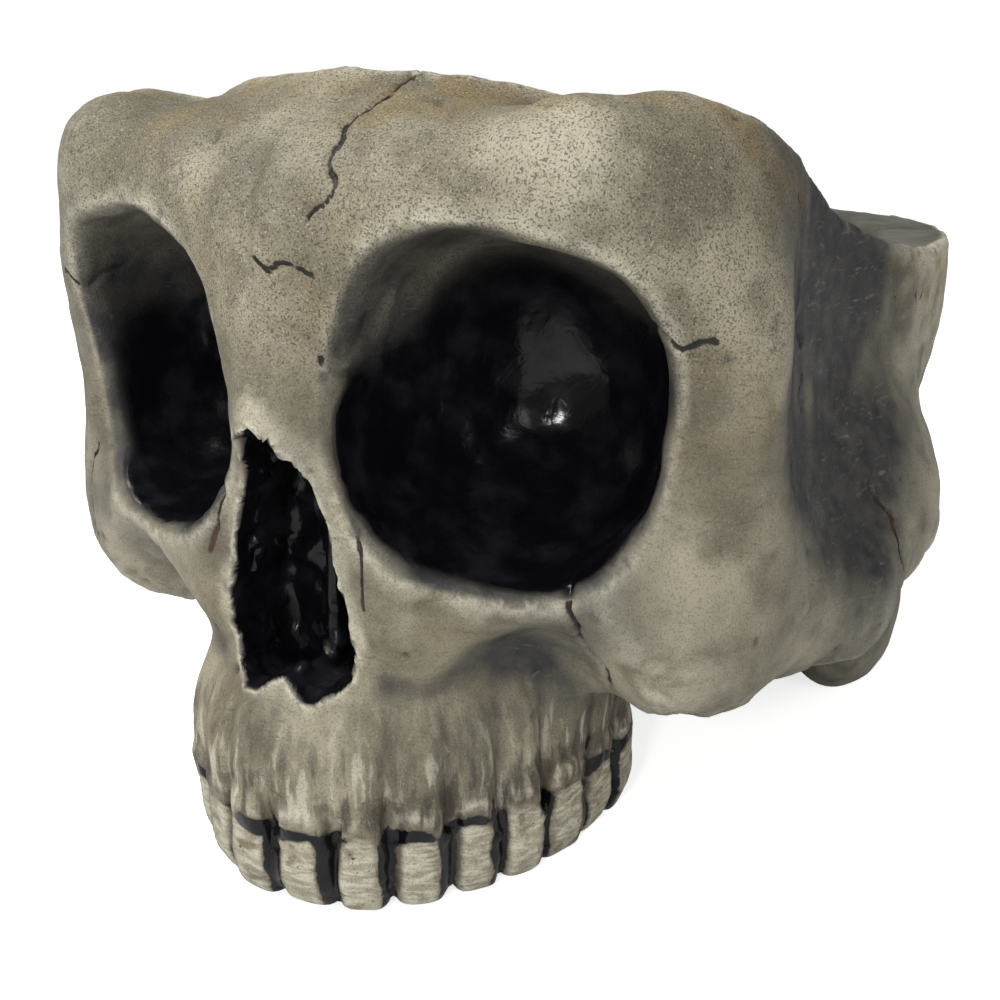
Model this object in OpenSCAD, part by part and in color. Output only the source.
// Skull-shaped aquarium bubbler: one open-topped resin casting with a small air system in its bowl.
// Millimetres. +Z is up, the face looks along -Y, and the casting stands on z = 0.

/* [Casting] */
// Width over the cheekbone arches
skull_w = 116; // [112:1:122]
// Length from the front teeth to the back of the head
skull_l = 150; // [146:1:156]
// Height of the front rim above the ground
skull_h = 96; // [92:1:100]
// Height of the bowl floor above the ground
floor_z = 25; // [24:1:27]

/* [Air line] */
// Outer radius of each push-on spigot, for airline of 4 mm bore
spigot_r = 2.0; // [1.9:0.05:2.2]
// Outer radius of the supply hose
hose_r = 3.0; // [2.8:0.1:3.2]
// Radius of the air passage through the fittings
air_r = 1.2; // [1:0.1:1.3]
// Length of the elbow's outer spigot
spigot_l = 10; // [8:0.5:12]

/* [Diffuser] */
// Outer radius of the diffuser dish
dish_r = 22; // [20:0.5:23]
// Thickness of the sintered stone
stone_t = 8; // [6:0.5:9]
// Number of suction cups under the dish
cups = 3; // [3:1:4]

/* [Hidden] */

bone = "#a79f87";
black_plastic = "#26272a";
rubber = "#1b1b1c";

// Fittings at the inlet
nut_t = 4;
stem_r = 4;
gasket_t = 1.5;
flange_t = 2.5;
flange_r = 7;
seat_depth = 5;
spotface_r = 8.5;
stub_r = 3.85;
stub_l = 8;
swivel_gap = 0.05;
end_gap = 0.3;
groove_r = 2.7;
ring_r = 0.58;
hub_r = 5.4;
hub_l = stub_l + 1.5;
shoulder_l = 3;

// The elbow stands out behind the casting, so the casting sits forward of the middle of the whole object.
elbow_out = gasket_t + flange_t + end_gap + hub_l - seat_depth;
cast_y = -elbow_out / 2;
back_y = cast_y + skull_l / 2;

// Diffuser, standing on the bowl floor
cup_h = 4;
dish_wall = 2;
plenum_h = 3;
dish_y = cast_y + 3;
dish_z = floor_z + cup_h;
dish_h = dish_wall + plenum_h + stone_t;
seat_z = dish_z + dish_wall + plenum_h;
stone_r = dish_r - dish_wall - 1;
nipple_z = dish_z + dish_wall + plenum_h / 2;
nipple_l = 9;
nipple_y = dish_y + dish_r - 0.5;

// Supply hose: two equal bends lift it from the dish to the inlet
bend_r = 10;
bend_deg = 45;
bend_run = 2 * bend_r * sin(bend_deg);
bend_rise = 2 * bend_r * (1 - cos(bend_deg));
grip_l = 8;
hose_y0 = nipple_y + 1;
hose_y1 = hose_y0 + grip_l;
hose_y2 = hose_y1 + bend_run;
inlet_z = nipple_z + bend_rise;

// Inlet through the back wall
wall_in = hose_y2 + grip_l + nut_t;
wall_out = back_y - seat_depth;
flange_y = wall_out + gasket_t;
stub_y = flange_y + flange_t;
hub_y = stub_y + end_gap;
leg_y = hub_y + hub_l / 2;

module both_sides() {
    children();
    mirror([1, 0, 0]) children();
}

// A ball stretched to three radii
module egg(at, radii, fn = 22) {
    translate(at) scale(radii) sphere(1, $fn = fn);
}

// A cylinder along +Y
module bar(y0, y1, z, r) {
    translate([0, y0, z]) rotate([-90, 0, 0]) cylinder(r = r, h = y1 - y0, $fn = 48);
}

// Masses of the skull's left half, mirrored by using |x|: [centre, radii, blend] for a ball of three radii,
// [end, end, radius at each end, blend] for a tapered rod. The blend is how far a mass melts into the others.
masses = [
    // Cranium, forehead, back of the head and skull base
    [[0, 22, 60], [55, 54, 54], 0],
    [[0, -18, 64], [43, 44, 36], 16],
    [[0, 48, 42], [40, 26, 32], 14],
    [[0, 20, 26], [46, 42, 32], 12],
    // Middle of the face and upper jaw
    [[0, -30, 38], [33, 34, 32], 14],
    [[0, -44, 40], [24, 24, 30], 8],
    [[0, -40, 16], [27, 33, 18], 10],
    // Brow and the outer edge of the socket
    [[0, -55, 75], [30, 12, 8], 10],
    [[4, -64, 71], [32, -58, 76], [6.5, 6], 8],
    [[32, -58, 76], [45, -47, 62], [6, 5], 6],
    [[45, -47, 62], [44, -45, 42], [5, 6.5], 6],
    // Cheekbone and the nasal bones
    [[38, -45, 33], [14, 13, 12], 8],
    [[42, -30, 52], [9, 22, 26], 12],
    [[38, -42, 72], [9, 15, 12], 10],
    [[34, -54, 36], [15, -62, 36], [6, 6], 6],
    [[11, -61, 34], [6, -64, 62], [6, 5], 6],
    [[0, -64, 70], [0, -70, 52], [6, 4.5], 5],
    // Arch, ear and mastoid
    [[43, -40, 31], [52, -20, 29], [7, 6.5], 9],
    [[52, -20, 29], [53, 4, 32], [6.5, 6], 9],
    [[48, -8, 36], [9, 28, 14], 10],
    [[50, 10, 31], [8, 13, 10], 9],
    [[44, 20, 14], [10, 12, 14], 6]
];
// Shallow hollows: the temple, and under the cheekbone beside the jaw
dents = [
    [[62, -22, 58], [12, 20, 22], 10],
    [[30, -60, 22], [8, 8, 9], 8]
];

// Distance to a mass, good enough to walk by
function ball_gap(p, c, r) =
    let (q = [for (i = [0:2]) (p[i] - c[i]) / r[i]], k = norm(q))
    k * (k - 1) / norm([for (i = [0:2]) q[i] / r[i]]);
function rod_gap(p, a, b, r) =
    let (d = b - a, t = min(1, max(0, (p - a) * d / (d * d))))
    norm(p - a - t * d) - r[0] - t * (r[1] - r[0]);
function gap(p, m) = len(m) == 3 ? ball_gap(p, m[0], m[1]) : rod_gap(p, m[0], m[1], m[2]);
function blended(a, b, k) = min(a, b) - pow(max(k - abs(a - b), 0), 2) / (4 * max(k, 0.01));
function bone_gap(p, i) =
    let (m = masses[i])
    i == 0 ? gap(p, m) : blended(bone_gap(p, i - 1), gap(p, m), m[len(m) - 1]);
function head_gap(p, i) =
    i < 0 ? bone_gap(p, len(masses) - 1) : -blended(-head_gap(p, i - 1), gap(p, dents[i]), dents[i][2]);

// The outer surface is found by walking in from outside along rays towards the core
core = [0, -6, 45];
rings = 46;
half_ring = 36;
near_enough = 0.08;
function walk(way, r, steps) =
    let (p = core + r * way, d = head_gap([abs(p.x), p.y, p.z], len(dents) - 1))
    d < near_enough || steps == 0 ? r : walk(way, r - d, steps - 1);
// From the core to the surface along a ray
outside = 110;
most_steps = 40;
function skin(way) = walk(way, outside, most_steps) * way;
function flipped(p) = [-p.x, p.y, p.z];
// Rings are closer together at the face, which looks along -Y
function turn(i) = 180 * pow(i / half_ring, 1.2);
function direction(rise, turn) = [cos(rise) * sin(turn), -cos(rise) * cos(turn), sin(rise)];
module head() {
    rises = [for (j = [1:rings]) -90 + 180 * j / (rings + 1)];
    half = [for (a = rises) [for (i = [0:half_ring]) skin(direction(a, turn(i)))]];
    sides = 2 * half_ring;
    points = [
        for (row = half) each [
            for (i = [0:sides - 1]) core + (i <= half_ring ? row[i] : flipped(row[sides - i]))
        ],
        core + skin([0, 0, -1]),
        core + skin([0, 0, 1])
    ];
    low = rings * sides;
    faces = [
        for (j = [0:rings - 2], i = [0:sides - 1])
            let (a = j * sides, b = a + sides, n = (i + 1) % sides) each
                [[a + i, b + i, b + n], [a + i, b + n, a + n]],
        for (i = [0:sides - 1]) [low, i, (i + 1) % sides],
        for (i = [0:sides - 1]) [low + 1, low - sides + (i + 1) % sides, low - sides + i]
    ];
    polyhedron(points, faces);
}

// Crown of one tooth, widest where it meets its neighbours, with its root running up into the gum
module tooth(w, deep) {
    scale([w / 2, deep, 1]) {
        cylinder(r1 = 0.85, r2 = 1, h = 4, $fn = 16);
        translate([0, 0, 4]) cylinder(r1 = 1, r2 = 0.55, h = 11, $fn = 16);
    }
}
// Widths of the teeth from the middle outwards, and where each stands round the jaw
tooth_widths = [7.4, 6.4, 6.8, 6.2, 6, 7.6, 7.2, 6.4];
tooth_turns = [8, 23, 37, 50, 61, 73, 85, 96];
module teeth() {
    both_sides() for (i = [0:len(tooth_widths) - 1]) {
        a = tooth_turns[i];
        translate([25 * sin(a), -37 - 33.5 * cos(a), 0]) rotate([0, 0, a]) tooth(tooth_widths[i], 4.4);
    }
}

module socket() {
    egg([25, -62, 55], [17.5, 26, 17], 28);
}
// Half the outline of the nose opening, from its tip to the middle of its foot
nose_half = [[0, 53], [4, 50], [9, 33], [9, 27], [5, 24], [0, 26]];
module nose_opening() {
    both_sides() translate([0, -56, 0]) rotate([90, 0, 0]) linear_extrude(30) polygon(nose_half);
}
// Hollows seen from the sides and from below
module hollows() {
    both_sides() {
        egg([47, -16, 10], [14, 20, 14], 24);
        egg([57, 7, 21], [7, 7, 7], 16);
    }
    egg([0, -38, -1], [17, 27, 9], 28);
}
// The form's own height and the middle of its length, as drawn above and before it is stretched
form_h = 86.75;
form_mid = 1.6;
// The bowl widens quickly from its floor, like the inside of an egg
bowl_rows = 8;
module bowl() {
    low = floor_z * form_h / skull_h;
    hull() for (j = [0:bowl_rows]) {
        t = j / bowl_rows;
        swell = sqrt(1 - pow(1 - t, 2));
        translate([0, 13, low + (100 - low) * t]) scale([28 + 19.5 * swell, 31 + 24 * swell, 1])
            cylinder(r = 1, h = 0.1, $fn = 56);
    }
}
// Height of the rim along the head: high over the brow, falling past the temples to the back
rim_low = 65;
rim_rise = 23;
rim_front = -66;
rim_back = 18;
function ease(t) = let (c = min(1, max(0, t))) c * c * (3 - 2 * c);
function rim(y) = rim_low + rim_rise * (1 - ease((y - rim_front) / (rim_back - rim_front)));
module rim_cut() {
    span = 90;
    line = [for (y = [-span:6:span]) [y, rim(y)]];
    rotate([90, 0, 90]) translate([0, 0, -span]) linear_extrude(2 * span)
        polygon(concat(line, [[span, 150], [-span, 150]]));
}

module skull_form() {
    difference() {
        union() {
            head();
            teeth();
        }
        translate([-90, -100, -60]) cube([180, 200, 60]);
        rim_cut();
        both_sides() socket();
        nose_opening();
        hollows();
        bowl();
    }
}

// The cast form is drawn near its size and stretched to it, then the inlet's seats are machined square
module skull_casting() {
    color(bone) difference() {
        union() {
            translate([0, cast_y, 0]) resize([skull_w, skull_l, skull_h])
                translate([0, -form_mid, 0]) skull_form();
            bar(wall_in, wall_out - 2, inlet_z, spotface_r);
        }
        bar(hose_y2 - 4, wall_in, inlet_z, spotface_r);
        bar(wall_out, wall_out + 20, inlet_z, spotface_r);
        bar(wall_in - 1, wall_out + 1, inlet_z, stem_r);
    }
}

// Barbed body that passes the air through the wall, turned from one bar
module inlet_bulkhead() {
    color(black_plastic) difference() {
        union() {
            bar(hose_y2 + 0.2, wall_in - nut_t, inlet_z, spigot_r);
            bar(wall_in - nut_t, flange_y, inlet_z, stem_r);
            bar(flange_y, stub_y, inlet_z, flange_r);
            bar(stub_y, stub_y + stub_l, inlet_z, stub_r);
        }
        translate([0, stub_y + stub_l / 2, inlet_z]) rotate([-90, 0, 0]) rotate_extrude($fn = 48)
            translate([groove_r, -ring_r]) square([stub_r, 2 * ring_r]);
        bar(hose_y2, stub_y + stub_l + 1, inlet_z, air_r);
    }
}

module bulkhead_gasket() {
    color(rubber) difference() {
        bar(wall_out, flange_y, inlet_z, flange_r);
        bar(wall_out - 1, flange_y + 1, inlet_z, stem_r);
    }
}

module bulkhead_nut() {
    color(black_plastic) difference() {
        translate([0, wall_in - nut_t, inlet_z]) rotate([-90, 0, 0]) cylinder(r = 6.6, h = nut_t, $fn = 6);
        bar(wall_in - nut_t - 1, wall_in + 1, inlet_z, stem_r);
    }
}

module swivel_o_ring() {
    color(rubber) translate([0, stub_y + stub_l / 2, inlet_z]) rotate([-90, 0, 0]) rotate_extrude($fn = 48)
        translate([groove_r + ring_r, 0]) circle(r = ring_r, $fn = 24);
}

// Elbow that turns on the bulkhead's stub and takes the airline from the pump
module inlet_elbow() {
    color(black_plastic) difference() {
        union() {
            bar(hub_y, hub_y + hub_l, inlet_z, hub_r);
            translate([0, leg_y, inlet_z]) cylinder(r = spigot_r + 1.4, h = hub_r + shoulder_l, $fn = 48);
            translate([0, leg_y, inlet_z])
                cylinder(r = spigot_r, h = hub_r + shoulder_l + spigot_l, $fn = 48);
        }
        bar(hub_y - 1, stub_y + stub_l + end_gap, inlet_z, stub_r + swivel_gap);
        translate([0, leg_y, inlet_z]) cylinder(r = air_r, h = 60, $fn = 32);
    }
}

// A hose bend in the YZ plane about its own centre, starting level at this angle round the centre
module hose_bend(start) {
    rotate([90, 0, 90]) rotate([0, 0, start]) rotate_extrude(angle = bend_deg, $fn = 64)
        translate([bend_r, 0]) difference() {
            circle(r = hose_r, $fn = 32);
            circle(r = spigot_r, $fn = 32);
        }
}

module hose_end(y0, z) {
    difference() {
        bar(y0, y0 + grip_l, z, hose_r);
        bar(y0 - 1, y0 + grip_l + 1, z, spigot_r);
    }
}

module supply_hose() {
    color("#3c3f42") {
        hose_end(hose_y0, nipple_z);
        translate([0, hose_y1, nipple_z + bend_r]) hose_bend(-90);
        translate([0, hose_y2, inlet_z - bend_r]) hose_bend(90);
        hose_end(hose_y2, inlet_z);
    }
}

// Shallow cup with a plenum under the stone and a nipple for the hose
module diffuser_dish() {
    color(black_plastic) difference() {
        union() {
            translate([0, dish_y, dish_z]) cylinder(r = dish_r, h = dish_h, $fn = 96);
            bar(nipple_y - 1, nipple_y + nipple_l, nipple_z, spigot_r);
        }
        translate([0, dish_y, seat_z]) cylinder(r = dish_r - dish_wall, h = dish_h, $fn = 96);
        translate([0, dish_y, dish_z + dish_wall]) cylinder(r = stone_r - 2, h = dish_h, $fn = 96);
        bar(dish_y, nipple_y + nipple_l + 1, nipple_z, air_r);
    }
}

module diffuser_stone() {
    color("#6f7f86") translate([0, dish_y, seat_z]) cylinder(r = stone_r, h = stone_t, $fn = 96);
}

module stone_gasket() {
    color(rubber) translate([0, dish_y, seat_z + 1]) difference() {
        cylinder(r = dish_r - dish_wall, h = stone_t / 2, $fn = 96);
        translate([0, 0, -1]) cylinder(r = stone_r + swivel_gap, h = stone_t, $fn = 96);
    }
}

// One cup, hollow underneath, with a stub that plugs into the dish
cup_half = [[0, 1.2], [5.8, 0], [7, 0], [7, 0.5], [3.2, 2.4], [3.2, cup_h], [0, cup_h]];
module suction_cup() {
    rotate_extrude($fn = 48) polygon(cup_half);
}

module suction_cups() {
    color("#5a5f61") translate([0, dish_y, floor_z]) for (i = [0:cups - 1]) {
        rotate([0, 0, 90 + i * 360 / cups]) translate([dish_r * 0.6, 0, 0]) suction_cup();
    }
}

skull_casting();
inlet_bulkhead();
bulkhead_gasket();
bulkhead_nut();
swivel_o_ring();
inlet_elbow();
supply_hose();
diffuser_dish();
diffuser_stone();
stone_gasket();
suction_cups();
